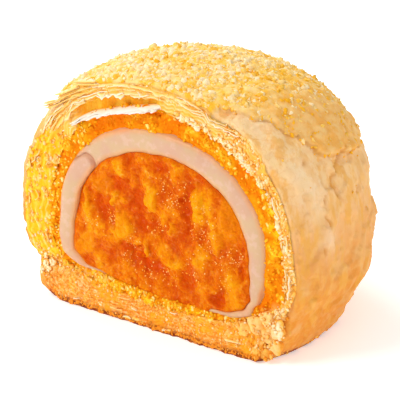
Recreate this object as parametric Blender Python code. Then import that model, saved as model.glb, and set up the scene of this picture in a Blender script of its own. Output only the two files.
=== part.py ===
"""A round flaky pastry with a slice cut off its front, so that every layer shows: a crumb-topped
crust, a yellow floss filling, a mochi skin and a custard core. Metres, +Z up. The origin is on the
whole pastry's axis, on its flat underside, and the cut face looks along -Y."""

import math
import random
from dataclasses import dataclass

import bmesh
import bpy
from mathutils import Euler, Vector, noise

# Lengths below are in millimetres; MM turns them into Blender's metres.
MM = 0.001

# The whole pastry, before the slice was cut off
PASTRY_RADIUS = 30.0
PASTRY_HEIGHT = 44.8
WIDEST_HEIGHT = 15.0

# The pastry's rounded underside would reach this far down, but it is flattened at the floor
UNDERSIDE = -10.0

# The cut stands this far in front of the pastry's axis
CUT_OFFSET = 11.0

# The layers are measured round this point of the cut face; they sit a little right of the axis
FACE_CENTRE_X = 1.3
FACE_CENTRE_HEIGHT = 17.0

# The cut face is modelled down to just below the floor, and flattened there with the rest
FACE_FLOOR = -0.5

# The left side of the base spreads further than the right
BASE_FLARE = 6.5
FLARE_HEIGHT = 15.0

# Clearance between one layer and the next
LAYER_GAP = 0.35

# Baked flakes on the cut crust
FLAKE_LAYERS = 3.0
FLAKE_LIFT = 0.7
SPLIT_DEPTH = 2.4
SPLIT_START_DEG = 88.0
SPLIT_END_DEG = 128.0

# Height of the crumbs and soft lumps on the other layers' cut faces
FLOSS_ROUGHNESS = 0.7
MOCHI_ROUGHNESS = 0.25
CUSTARD_LUMPS = 0.9
CUSTARD_BULGE = 0.25

# Crumb topping
CRUMB_SEATS = 129
CRUMB_ZONE_RADIUS = 25.5
CRUMB_ZONE_HEIGHT = 30.0
CRUMB_SIZE_MIN = 0.8
CRUMB_SIZE_MAX = 1.7
CRUMB_SINK = 0.05
TOPPING_RAISE = 0.7
CRUMB_SEED = 11

# The mochi skin is drawn in under the core and leaves a round opening there
MOCHI_OPENING_RADIUS = 15.0

# Mesh fineness: round the cut face, and from the cut back to the far pole
CRUST_SEGMENTS = 96
LAYER_SEGMENTS = 48
CRUST_ROWS = 13
LAYER_ROWS = 8
CRUST_FACE_ROWS = 9
BISECTIONS = 30


@dataclass
class Dome:
    """A turned dome: rounded off above and below the level where it is widest."""

    centre_x: float
    radius: float
    floor: float
    top: float
    floor_power: float = 3.0
    widest: float = WIDEST_HEIGHT
    top_power: float = 2.3

    def plan_radius(self, height):
        above = height >= self.widest
        end, power = (self.top, self.top_power) if above else (self.floor, self.floor_power)
        share = min((height - self.widest) / (end - self.widest), 1.0)
        return self.radius * (1 - share**power) ** (1 / power)

    def height_over(self, distance):
        """The height of the upper surface at this distance from the axis."""
        share = (1 - (distance / self.radius) ** self.top_power) ** (1 / self.top_power)
        return self.widest + (self.top - self.widest) * share

    def holds(self, point):
        if not self.floor <= point.z <= self.top:
            return False
        return math.hypot(point.x - self.centre_x, point.y) <= self.plan_radius(point.z)


CRUST = Dome(0.0, PASTRY_RADIUS, UNDERSIDE, PASTRY_HEIGHT, floor_power=2.0)
FILLING = Dome(1.9, 26.2, 4.2, 40.5)
MOCHI = Dome(FACE_CENTRE_X, 23.7, 6.2, 36.8)
CORE = Dome(FACE_CENTRE_X, 20.4, 7.4, 33.4)

# The layers' rings are measured round these points, on the cut face and behind it
FACE_CENTRE = Vector((FACE_CENTRE_X, -CUT_OFFSET, FACE_CENTRE_HEIGHT))
MIDDLE = Vector((FACE_CENTRE_X, 0.0, FACE_CENTRE_HEIGHT))


def smoothstep(low, high, value):
    share = min(max((value - low) / (high - low), 0.0), 1.0)
    return share * share * (3 - 2 * share)


def flared(point):
    """The hand-shaped base: low on the left, every layer spreads outwards alike."""
    low = min(max(1 - point.z / FLARE_HEIGHT, 0.0), 1.0)
    left = min(max(-point.x / PASTRY_RADIUS, 0.0), 1.0)
    return Vector((point.x - BASE_FLARE * low * low * left, point.y, point.z))


def reach(dome, start, direction):
    """How far the dome's surface is from a point inside it, along a direction."""
    near, far = 0.0, 2.0 * PASTRY_HEIGHT
    for _ in range(BISECTIONS):
        middle = (near + far) / 2
        if dome.holds(start + direction * middle):
            near = middle
        else:
            far = middle
    return near


def face_point(dome, turn, share=1.0):
    """A point of the cut plane, at this share of the way from the face's centre to the dome's outline."""
    direction = Vector((math.cos(turn), 0.0, math.sin(turn)))
    return FACE_CENTRE + direction * reach(dome, FACE_CENTRE, direction) * share


def skin_point(dome, turn, back):
    """A point of the dome's surface: back is 0 at the cut's rim and 1 at the far pole."""
    rim = face_point(dome, turn) - MIDDLE
    polar = math.atan2(math.hypot(rim.x, rim.z), rim.y) * (1 - back)
    direction = Vector(
        (math.cos(turn) * math.sin(polar), math.cos(polar), math.sin(turn) * math.sin(polar))
    )
    return MIDDLE + direction * reach(dome, MIDDLE, direction)


def layer_skin(dome):
    return lambda turn, back: skin_point(dome, turn, back)


def hollow_skin(dome):
    """The hollow that holds a layer: its skin with the clearance all round, on the same rings."""

    def place(turn, back):
        point = skin_point(dome, turn, back)
        return point + (point - MIDDLE).normalized() * LAYER_GAP

    return place


def hollow_rim(dome, turn):
    """The hollow's outline on the cut plane."""
    point = face_point(dome, turn)
    return point + (point - FACE_CENTRE).normalized() * LAYER_GAP


def crust_bumps(point):
    """Baked unevenness of the crust's outside; the crumb topping stands proud of the plain skin."""
    raised = TOPPING_RAISE * smoothstep(CRUMB_ZONE_HEIGHT - 3, CRUMB_ZONE_HEIGHT + 2, point.z)
    wide = 0.5 * noise.noise(point * 0.09)
    fine = 0.35 * noise.noise(point * 0.4) * (0.5 + raised)
    return (raised + wide + fine) * smoothstep(0.0, 4.0, point.z)


def crust_skin(turn, back):
    """The crust's outside. At the rim of the cut face it ends just below the floor."""
    point = skin_point(CRUST, turn, back)
    if back == 0 and point.z < FACE_FLOOR:
        drop = (FACE_CENTRE_HEIGHT - FACE_FLOOR) / (FACE_CENTRE_HEIGHT - point.z)
        point = FACE_CENTRE.lerp(point, drop)
    return point + (point - MIDDLE).normalized() * crust_bumps(point)


def in_split(turn):
    """1 inside the gap where the top's flakes have parted, 0 outside it."""
    degrees = math.degrees(turn) % 360
    return smoothstep(SPLIT_START_DEG, SPLIT_START_DEG + 8, degrees) * (
        1 - smoothstep(SPLIT_END_DEG - 8, SPLIT_END_DEG, degrees)
    )


def flake_lift(turn, across, point):
    """How far the cut crust's flakes stand out of the cut plane; across is 0 outside and 1 inside."""
    wander = 0.6 * noise.noise(Vector((2.5 * math.cos(turn), 2.5 * math.sin(turn), 0.0)))
    ridge = abs(((across * FLAKE_LAYERS + wander) % 1.0) * 2 - 1)
    ragged = 0.4 * noise.noise(point * 0.55)
    lift = FLAKE_LIFT * (ridge - 0.5) + ragged
    split = in_split(turn) * (1 - smoothstep(0.1, 0.25, abs(across - 0.5)))
    edge = smoothstep(0.0, 0.12, across) * (1 - smoothstep(0.88, 1.0, across))
    return (lift - SPLIT_DEPTH * split) * edge


def crust_face(turn, across):
    """The crust's cut face, from its outer outline to its inner one."""
    outside = crust_skin(turn, 0.0)
    outside.y = -CUT_OFFSET
    point = outside.lerp(hollow_rim(FILLING, turn), across)
    point.y -= flake_lift(turn, across, point)
    return point


def band_face(outer, inner, rough):
    """The cut face of a filling layer, between two outlines, with crumbs of the given height."""

    def place(turn, across):
        point = face_point(outer, turn).lerp(hollow_rim(inner, turn), across)
        edge = smoothstep(0.0, 0.3, across) * (1 - smoothstep(0.7, 1.0, across))
        point.y -= rough * edge * (0.5 + 1.6 * noise.noise(point * 0.45))
        return point

    return place


def core_face(turn, across):
    """The custard's cut face, from its outline to its centre, in soft lumps."""
    point = face_point(CORE, turn, 1 - across)
    lumps = CUSTARD_BULGE + CUSTARD_LUMPS * noise.noise(point * 0.28)
    point.y -= smoothstep(0.0, 0.15, across) * lumps
    return point


def shares(count, first, last):
    """Evenly spaced numbers from first to last, both included."""
    return [first + (last - first) * step / (count - 1) for step in range(count)]


def rows_of(skin, back_rows, face, face_rows, hollow=None, hollow_rows=0):
    """The closed body as rings: over its skin to the rim, across the cut face, and back inside."""
    rows = [(skin, back) for back in shares(back_rows, 1.0, 0.0)]
    rows += [(face, across) for across in shares(face_rows + 2, 0.0, 1.0)[1:]]
    if hollow:
        rows += [(hollow, back) for back in shares(hollow_rows, 0.0, 1.0)[1:]]
    return rows


def ringed_body(name, rows, segments, material, group=None):
    """A UV sphere whose rings are moved onto the rows, so that its far half folds into the hollow."""
    bm = bmesh.new()
    last = len(rows) - 1
    bmesh.ops.create_uvsphere(bm, u_segments=segments, v_segments=last, radius=1.0)
    for vert in bm.verts:
        ring = round(math.acos(max(-1.0, min(1.0, vert.co.z))) / math.pi * last)
        turn = math.atan2(vert.co.y, vert.co.x) if 0 < ring < last else 0.0
        place, share = rows[ring]
        vert.co = flared(place(turn, share)) * MM
    bmesh.ops.triangulate(bm, faces=bm.faces, quad_method="SHORT_EDGE")
    bmesh.ops.recalc_face_normals(bm, faces=bm.faces)
    if bm.calc_volume(signed=True) < 0:
        bmesh.ops.reverse_faces(bm, faces=bm.faces)
    mesh = bpy.data.meshes.new(name)
    bm.to_mesh(mesh)
    bm.free()
    mesh.materials.append(material)
    body = bpy.data.objects.new(name, mesh)
    (group or pastry).objects.link(body)
    return body


def baked(name, colour, roughness):
    material = bpy.data.materials.new(name)
    material.use_nodes = True
    surface = material.node_tree.nodes["Principled BSDF"]
    surface.inputs["Base Color"].default_value = (*colour, 1.0)
    surface.inputs["Roughness"].default_value = roughness
    surface.inputs["Metallic"].default_value = 0.0
    return material


def helper(body):
    """A cutter or another guide, which isn't part of the pastry."""
    body.hide_render = True
    body.display_type = "WIRE"
    return body


def drum(name, radius, low, high):
    """An upright cylinder on the filling's axis, used to cut or fill the mochi's opening."""
    bm = bmesh.new()
    bmesh.ops.create_cone(
        bm,
        cap_ends=True,
        segments=LAYER_SEGMENTS,
        radius1=radius * MM,
        radius2=radius * MM,
        depth=(high - low) * MM,
    )
    mesh = bpy.data.meshes.new(name)
    bm.to_mesh(mesh)
    bm.free()
    body = bpy.data.objects.new(name, mesh)
    body.location = Vector((FACE_CENTRE_X, 0.0, (low + high) / 2)) * MM
    cutters.objects.link(body)
    return helper(body)


def floor_slab():
    """All the space under the floor, which flattens the pastry's underside."""
    bm = bmesh.new()
    bmesh.ops.create_cube(bm, size=4 * PASTRY_RADIUS * MM)
    mesh = bpy.data.meshes.new("floor_slab")
    bm.to_mesh(mesh)
    bm.free()
    body = bpy.data.objects.new("floor_slab", mesh)
    body.location = (0.0, 0.0, -2 * PASTRY_RADIUS * MM)
    cutters.objects.link(body)
    return helper(body)


def boolean(body, other, operation):
    modifier = body.modifiers.new(operation.title(), "BOOLEAN")
    modifier.operation = operation
    modifier.solver = "EXACT"
    modifier.object = other


def crumb_seats():
    """Seats of the crumbs, spread over the whole top by the golden angle, with a seeded wobble, and
    kept where they are behind the cut."""
    draw = random.Random(CRUMB_SEED)
    golden = math.pi * (3 - math.sqrt(5))
    for step in range(CRUMB_SEATS):
        out = CRUMB_ZONE_RADIUS * math.sqrt((step + 0.5) / CRUMB_SEATS) + draw.uniform(-0.8, 0.8)
        turn = step * golden + draw.uniform(-0.1, 0.1)
        x, y = out * math.cos(turn), out * math.sin(turn)
        size = draw.uniform(CRUMB_SIZE_MIN, CRUMB_SIZE_MAX)
        turns = [draw.uniform(0, math.tau) for _ in range(3)]
        if y > 2.0 - CUT_OFFSET + size:
            yield x, y, size, turns


def crumb_topping(material):
    """Baked crumbs sunk into the top of the crust, each a rough ball."""
    crumbs = bpy.data.collections.new("crumbs")
    bpy.context.scene.collection.children.link(crumbs)
    for x, y, size, turns in crumb_seats():
        seat = Vector((x, y, CRUST.height_over(math.hypot(x, y))))
        outwards = (seat - MIDDLE).normalized()
        seat += outwards * (crust_bumps(seat) - CRUMB_SINK * size)
        bm = bmesh.new()
        bmesh.ops.create_icosphere(bm, subdivisions=1, radius=size * MM)
        bmesh.ops.scale(bm, vec=(1.25, 0.95, 0.75), verts=bm.verts)
        mesh = bpy.data.meshes.new("crumb")
        bm.to_mesh(mesh)
        bm.free()
        mesh.materials.append(material)
        crumb = bpy.data.objects.new("crumb", mesh)
        crumb.location = seat * MM
        crumb.rotation_euler = Euler(turns)
        crumbs.objects.link(crumb)
    return crumbs


def fuse(body, collection):
    """Joins a collection to a body by one Boolean union, then removes the collection's objects."""
    modifier = body.modifiers.new("Fuse", "BOOLEAN")
    modifier.operation = "UNION"
    modifier.solver = "EXACT"
    modifier.operand_type = "COLLECTION"
    modifier.collection = collection
    bpy.context.view_layer.update()
    graph = bpy.context.evaluated_depsgraph_get()
    joined = bpy.data.meshes.new_from_object(body.evaluated_get(graph))
    body.modifiers.remove(modifier)
    body.data = joined
    for crumb in list(collection.objects):
        bpy.data.objects.remove(crumb)
    bpy.data.collections.remove(collection)


def make_crust():
    material = baked("baked_crust", (0.90, 0.58, 0.22), 0.75)
    rows = rows_of(
        crust_skin,
        CRUST_ROWS,
        crust_face,
        CRUST_FACE_ROWS,
        hollow_skin(FILLING),
        LAYER_ROWS,
    )
    crust = ringed_body("crust", rows, CRUST_SEGMENTS, material)
    fuse(crust, crumb_topping(material))
    boolean(crust, floor_slab(), "DIFFERENCE")


def make_filling():
    rows = rows_of(
        layer_skin(FILLING),
        LAYER_ROWS,
        band_face(FILLING, MOCHI, FLOSS_ROUGHNESS),
        2,
        hollow_skin(MOCHI),
        LAYER_ROWS,
    )
    ringed_body("floss_filling", rows, LAYER_SEGMENTS, baked("floss", (0.95, 0.42, 0.02), 0.6))


def make_mochi():
    rows = rows_of(
        layer_skin(MOCHI),
        LAYER_ROWS,
        band_face(MOCHI, CORE, MOCHI_ROUGHNESS),
        1,
        hollow_skin(CORE),
        LAYER_ROWS,
    )
    mochi = ringed_body(
        "mochi_skin", rows, LAYER_SEGMENTS, baked("mochi", (0.90, 0.62, 0.45), 0.35)
    )
    opening = drum("mochi_opening", MOCHI_OPENING_RADIUS, 0.0, CORE.floor + 2)
    boolean(mochi, opening, "DIFFERENCE")


def flat_face(dome):
    return lambda turn, across: face_point(dome, turn, 1 - across)


def make_core():
    """The custard, which comes down through the mochi's opening to the filling."""
    custard = baked("custard", (0.90, 0.27, 0.01), 0.4)
    rows = rows_of(layer_skin(CORE), LAYER_ROWS, core_face, 6)
    core = ringed_body("custard_core", rows, LAYER_SEGMENTS, custard)
    rows = rows_of(layer_skin(MOCHI), LAYER_ROWS, flat_face(MOCHI), 1)
    underside = helper(ringed_body("core_underside", rows, LAYER_SEGMENTS, custard, cutters))
    keep = drum("underside_drum", MOCHI_OPENING_RADIUS - LAYER_GAP, 0.0, CORE.floor + 1)
    boolean(underside, keep, "INTERSECT")
    boolean(core, underside, "UNION")


for old in list(bpy.data.objects):
    bpy.data.objects.remove(old)

pastry = bpy.data.collections.new("cut_flaky_pastry")
cutters = bpy.data.collections.new("cutters")
for group in (pastry, cutters):
    bpy.context.scene.collection.children.link(group)

make_crust()
make_filling()
make_mochi()
make_core()
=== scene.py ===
# Looks of a round flaky pastry with a slice cut off its front: a crumb-topped crust, a floss
# filling, a mochi skin and a custard core. Lengths in the settings are millimetres.
import math
import random

import bmesh
import bpy
from mathutils import Euler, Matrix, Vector, noise


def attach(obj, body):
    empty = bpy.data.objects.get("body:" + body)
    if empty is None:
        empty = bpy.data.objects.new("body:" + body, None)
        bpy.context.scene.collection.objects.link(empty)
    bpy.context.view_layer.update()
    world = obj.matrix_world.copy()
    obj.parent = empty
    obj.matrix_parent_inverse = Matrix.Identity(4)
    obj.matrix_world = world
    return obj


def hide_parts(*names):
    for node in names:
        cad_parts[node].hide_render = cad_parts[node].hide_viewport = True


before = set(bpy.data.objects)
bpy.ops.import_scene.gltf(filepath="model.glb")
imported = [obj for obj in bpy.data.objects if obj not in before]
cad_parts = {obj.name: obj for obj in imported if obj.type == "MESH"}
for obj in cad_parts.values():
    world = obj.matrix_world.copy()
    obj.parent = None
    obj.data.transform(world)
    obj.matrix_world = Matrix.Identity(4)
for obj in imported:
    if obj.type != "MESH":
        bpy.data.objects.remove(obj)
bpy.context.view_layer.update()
print("frame loaded:", ", ".join(sorted(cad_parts)))

mm = 0.001

cutY = -11.0
middle = Vector((1.3, 0.0, 17.0))  # the layers' rings are measured round this point
faceMiddle = Vector((1.3, cutY, 17.0))  # and round this one on the cut face
forward = Vector((0.0, -1.0, 0.0))  # the way the cut faces

# Each layer as a dome: its axis, radius, lowest and highest level, and how square its underside is
domes = {
    "crust": {"x": 0.0, "radius": 30.0, "floor": -10.0, "top": 44.8, "power": 2.0},
    "filling": {"x": 1.9, "radius": 26.2, "floor": 4.2, "top": 40.5, "power": 3.0},
    "mochi": {"x": 1.3, "radius": 23.7, "floor": 6.2, "top": 36.8, "power": 3.0},
    "custard": {"x": 1.3, "radius": 20.4, "floor": 7.4, "top": 33.4, "power": 3.0},
}
widestZ = 15.0
topPower = 2.3
flare = {"spread": 6.5, "height": 15.0}  # the left foot of the base
hollowGap = 0.3  # how far a hollow stands off the layer in it
search = {"farthest": 80.0, "halvings": 18}  # for the distance to a dome's skin


def unit(value):
    return min(max(value, 0.0), 1.0)


def smooth(low, high, value):
    share = unit((value - low) / (high - low))
    return share * share * (3 - 2 * share)


def bell(away, width):  # 1 in the middle, falling to 0 on both sides
    return math.exp(-((away / width) ** 2))


def wobble(point, size, seed=0.0):
    return noise.noise(point / size + Vector((seed, seed * 1.7, -seed)))


def lump(point, size):  # 1 in the middle of a crumb, 0 between crumbs
    return max(0.0, 1 - 1.25 * noise.voronoi(point / size)[0][0])


def window(degrees, start, end, soft):  # 1 inside a range of turn, 0 outside it
    span = (end - start) % 360
    inside = (degrees - start) % 360
    if inside > span:
        return 0.0
    return smooth(0, soft, inside) * (1 - smooth(span - soft, span, inside))


def fromTable(table, value):  # a smooth walk through (place, amount) pairs
    for (start, low), (end, high) in zip(table, table[1:]):
        if value <= end:
            return low + (high - low) * smooth(start, end, value)
    return table[-1][1]


def flared(point):
    low = unit(1 - point.z / flare["height"])
    left = unit(-point.x / domes["crust"]["radius"])
    return Vector((point.x - flare["spread"] * low * low * left, point.y, point.z))


def planRadius(dome, z):
    if z >= widestZ:
        span, power = dome["top"] - widestZ, topPower
    else:
        span, power = widestZ - dome["floor"], dome["power"]
    share = min(abs(z - widestZ) / span, 1.0)
    return dome["radius"] * (1 - share**power) ** (1 / power)


def reach(dome, start, way):
    near, far = 0.0, search["farthest"]
    for step in range(search["halvings"]):
        half = (near + far) / 2
        point = start + way * half
        inside = dome["floor"] <= point.z <= dome["top"]
        if inside and math.hypot(point.x - dome["x"], point.y) <= planRadius(dome, point.z):
            near = half
        else:
            far = half
    return near


cutOutlines = {}


def onCut(layer, turn):  # the layer's outline on the cut plane
    key = (layer, round(turn, 4))
    if key not in cutOutlines:
        way = Vector((math.cos(turn), 0.0, math.sin(turn)))
        cutOutlines[key] = faceMiddle + way * reach(domes[layer], faceMiddle, way)
    return cutOutlines[key].copy()


def onSkin(layer, turn, back):  # back is 0 at the cut's rim and 1 at the far pole
    rim = onCut(layer, turn) - middle
    polar = math.atan2(math.hypot(rim.x, rim.z), rim.y) * (1 - back)
    wide = math.sin(polar)
    way = Vector((math.cos(turn) * wide, math.cos(polar), math.sin(turn) * wide))
    return middle + way * reach(domes[layer], middle, way)


def layerSkin(layer, grow=0.0, tone=(0.5, 0.0, 0.0), mark=(0.0, 0.0, 0.0)):
    def find(turn, back):
        point = onSkin(layer, turn, back)
        return point + (point - middle).normalized() * grow, tone, mark

    return find


def shares(count, first, last):
    return [first + (last - first) * step / (count - 1) for step in range(count)]


def rings(find, count, first, last):
    return [(find, share) for share in shares(count, first, last)]


# Turns a UV sphere into a layer: its rings go over the skin, across the cut face and back inside
def ringBody(rows, segments):
    bm = bmesh.new()
    last = len(rows) - 1
    bmesh.ops.create_uvsphere(bm, u_segments=segments, v_segments=last, radius=1.0)
    tone = bm.verts.layers.float_vector.new("tone")
    mark = bm.verts.layers.float_vector.new("mark")
    for vert in bm.verts:
        ring = round(math.acos(max(-1.0, min(1.0, vert.co.z))) / math.pi * last)
        turn = math.atan2(vert.co.y, vert.co.x) if 0 < ring < last else 0.0
        find, share = rows[ring]
        point, vert[tone], vert[mark] = find(turn, share)
        vert.co = flared(point) * mm
    return bm


def closeNormals(bm):
    bmesh.ops.recalc_face_normals(bm, faces=bm.faces)
    if bm.calc_volume(signed=True) < 0:
        bmesh.ops.reverse_faces(bm, faces=bm.faces)


def link(name, data):
    thing = bpy.data.objects.new(name, data)
    bpy.context.scene.collection.objects.link(thing)
    return thing


def place(name, bm, node, material):
    mesh = bpy.data.meshes.new(name)
    bm.to_mesh(mesh)
    bm.free()
    mesh.shade_smooth()
    mesh.materials.append(material)
    piece = link(name, mesh)
    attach(piece, "root")
    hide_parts(node)
    print("made", name, len(mesh.polygons), "faces")


def makeLayer(name, node, rows, settings, material):
    bm = ringBody(rows, settings["segments"])
    if "weld" in settings:
        bmesh.ops.remove_doubles(bm, verts=bm.verts[:], dist=settings["weld"])
    closeNormals(bm)
    place(name, bm, node, material)


# Shader maths as expressions
class Wire:
    def __init__(self, finish, socket):
        self.finish = finish
        self.socket = socket

    def maths(self, operation, first, second):
        return self.finish.node("Math", {"operation": operation}, {0: first, 1: second})

    def __add__(self, other):
        return self.maths("ADD", self, other)

    def __sub__(self, other):
        return self.maths("SUBTRACT", self, other)

    def __rsub__(self, other):
        return self.maths("SUBTRACT", other, self)

    def __mul__(self, other):
        return self.maths("MULTIPLY", self, other)

    __radd__ = __add__
    __rmul__ = __mul__

    def clipped(self, low, high):  # 0 below low, 1 above high
        return self.finish.node(
            "MapRange",
            {"interpolation_type": "SMOOTHSTEP"},
            {"Value": self, "From Min": low, "From Max": high},
        )


def hue(*colour):  # red, green and blue as they show on screen
    return tuple(((c + 0.055) / 1.055) ** 2.4 if c > 0.04045 else c / 12.92 for c in colour)


class Finish:
    # softness is how much light goes under the surface, how deep in metres, and its tint
    def __init__(self, name, roughness, specular, softness=(), others=None):
        self.material = bpy.data.materials.new(name)
        self.material.use_nodes = True
        self.tree = self.material.node_tree
        self.surface = self.tree.nodes["Principled BSDF"]
        constants = {"Roughness": roughness, "Specular IOR Level": specular, **(others or {})}
        for key, value in zip(("Weight", "Scale", "Radius"), softness):
            constants["Subsurface " + key] = value
        for socket, value in constants.items():
            self.surface.inputs[socket].default_value = value
        self.place = self.node("TexCoord", output="Object")

    def node(self, kind, settings=None, inputs=None, output=0):
        made = self.tree.nodes.new("ShaderNode" + kind)
        for key, value in (settings or {}).items():
            if key == "stops":
                ramp = made.color_ramp.elements
                while len(ramp) < len(value):
                    ramp.new(0.5)
                for stop, (position, *colour) in zip(ramp, value):
                    stop.position = position
                    stop.color = (*hue(*colour), 1.0)
            else:
                setattr(made, key, value)
        for key, value in (inputs or {}).items():
            if isinstance(value, Wire):
                self.tree.links.new(value.socket, made.inputs[key])
            elif isinstance(value, tuple) and len(value) == 3 and made.inputs[key].type == "RGBA":
                made.inputs[key].default_value = (*value, 1.0)
            else:
                made.inputs[key].default_value = value
        return Wire(self, made.outputs[output])

    def grain(self, size, detail=3.0, roughness=0.55, stretch=None, seed=0.0):
        where = self.place
        if stretch or seed:
            shift = {"Scale": stretch or (1, 1, 1), "Location": (seed, seed, seed)}
            where = self.node("Mapping", None, {"Vector": where, **shift})
        pattern = {"Scale": 1 / (size * mm), "Detail": detail, "Roughness": roughness}
        return self.node("TexNoise", None, {"Vector": where, **pattern})

    def masks(self, name):
        vector = self.node("Attribute", {"attribute_name": name}, output="Vector")
        return [self.node("SeparateXYZ", None, {0: vector}, axis) for axis in range(3)]

    def blend(self, share, *colours):  # each is a wire, or red, green and blue
        first, second = [hue(*c) if isinstance(c, tuple) else c for c in colours]
        return self.node("Mix", {"data_type": "RGBA"}, {0: share, 6: first, 7: second}, 2)

    def over(self, colour, *coats):  # each coat is where it shows, and its colour
        for share, coat in coats:
            colour = self.blend(share, colour, coat)
        return colour

    def ramp(self, value, stops):  # each stop is its position, red, green and blue
        return self.node("ValToRGB", {"stops": stops}, {"Fac": value})

    def height(self, value):
        return self.node("SeparateXYZ", None, {0: self.place}, value)

    def feed(self, colour, roughness, bump, depth, strength, coat=None):
        relief = {"Height": bump, "Distance": depth * mm, "Strength": strength}
        normal = self.node("Bump", None, relief)
        wires = {"Base Color": colour, "Roughness": roughness, "Normal": normal}
        if coat:
            wires["Coat Weight"] = coat
        for socket, wire in wires.items():
            self.tree.links.new(wire.socket, self.surface.inputs[socket])
        return self.material


# Crust: the baked skin, the topping's bed, the flaky cut face and the browned base
crust = {
    "segments": 560,
    "skinRows": 112,
    "faceRows": 52,
    "hollowRows": 5,
    "skinEasing": 1.25,  # sets the skin's rings closer near the cut
    "faceFloor": -0.5,
    "rimRound": (0.75, 0.3, 1.8),  # at the top and left, at the right, and low on the right
    "crownDrop": 0.7,  # makes room for the crumbs' height
    "toppingRaise": 0.3,
    # lowest level of the topping, by the turn round the pastry's axis in degrees
    "toppingEdge": (
        (-180, 34.0), (-155, 37.0), (-140, 39.4), (-120, 40.2), (-90, 40.6), (-60, 40.4),
        (-46, 40.8), (-38, 42.0), (-19, 39.4), (-13, 37.4), (-6, 35.5), (0, 33.3), (20, 31.0),
        (60, 30.0), (100, 30.0), (140, 31.0), (180, 34.0),
    ),
    "crackRegion": {"x": 22, "y": 10, "z": (17, 36)},  # no crack lies outside it
    "cracks": (
        ((25.1, 5.6, 32.6), (26.3, 2.5, 31.3), (27.1, 0.6, 30.1), (27.5, -0.3, 29.1),
         (28.0, 0.4, 28.0), (28.4, 0.5, 26.7)),
        ((27.9, -2.6, 27.8), (28.3, -3.5, 26.4), (28.9, -3.3, 24.3), (29.2, -3.0, 23.1)),
        ((24.7, -4.5, 33.9), (25.0, -4.7, 33.3)),
        ((29.2, -5.2, 19.8), (29.2, -5.1, 19.4)),
    ),
    "crackWidth": 0.28,
    "crackDepth": 0.4,
    "plateStep": 0.42,  # the edges of peeling layers on the bare skin
    "bulge": ((24.4, 17.4, 16.5), 3.0, 1.0),  # middle, reach, height
    # painted highlights, pale patches on the bare skin: middle and reach
    "pale": (
        ((15.6, -7.1, 40.9), 2.2), ((18.2, -6.9, 39.3), 2.4), ((24.9, -6.0, 32.8), 2.6),
        ((26.8, -5.3, 29.6), 3.0), ((27.7, -5.5, 27.3), 2.4), ((29.4, -3.8, 21.0), 2.2),
    ),
    "tuck": 0.9,  # the lower right side draws in
    "cornerLift": 2.2,  # the front left corner stands off the table
    "waist": {"depth": 1.5, "level": 5.5, "reach": 4.0},  # the left side draws in above the foot
    "baseBulge": 0.9,
    "gapTurns": (87.0, 139.0),
    "gapAcross": (0.42, 1.2),
    "gapDepth": 1.2,
}


def toppingEdge(point):
    return fromTable(crust["toppingEdge"], math.degrees(math.atan2(point.y, point.x)))


def toppingAt(point):  # 1 under the crumb topping, 0 on the bare skin
    ragged = 0.9 * wobble(point, 3.0, 2.0) + 0.5 * wobble(point, 1.1, 5.0)
    return smooth(-0.2, 0.3, point.z - toppingEdge(point) + ragged)


def toLine(point, line):  # distance from a line of points
    nearest = math.inf
    for start, end in zip(line, line[1:]):
        start, end = Vector(start), Vector(end)
        along = end - start
        share = unit((point - start).dot(along) / along.length_squared)
        nearest = min(nearest, (start + along * share - point).length)
    return nearest


def crackAt(point):
    region = crust["crackRegion"]
    low, high = region["z"]
    if point.x < region["x"] or point.y > region["y"] or not low < point.z < high:
        return 0.0
    wander = Vector((0.0, 0.7 * wobble(point, 1.6, 9.0), 0.3 * wobble(point, 0.9, 3.0)))
    nearest = min(toLine(point + wander, line) for line in crust["cracks"])
    width = crust["crackWidth"] * (1 + 0.8 * wobble(point, 1.5, 4.0))
    return bell(nearest, width)


def plates(point):  # levels of thin peeled layers, and where their edges run
    upright = Vector((point.x, point.y, point.z * 0.6))
    level = 2.4 * wobble(upright, 8.0, 11.0) + 0.8 * wobble(upright, 2.6, 13.0)
    level += 0.2 * wobble(point, 0.9, 3.0)
    part = level - math.floor(level)
    edge = max(0.0, 1 - abs(part - 0.5) / 0.12)
    return math.floor(level) + smooth(0.42, 0.58, part), edge


def cornerLift(point):
    left = smooth(-16, -22, point.x) * (1 - smooth(0.5, 9.0, point.z))
    return crust["cornerLift"] * left * (1 - smooth(cutY + 2, cutY + 9, point.y))


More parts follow.
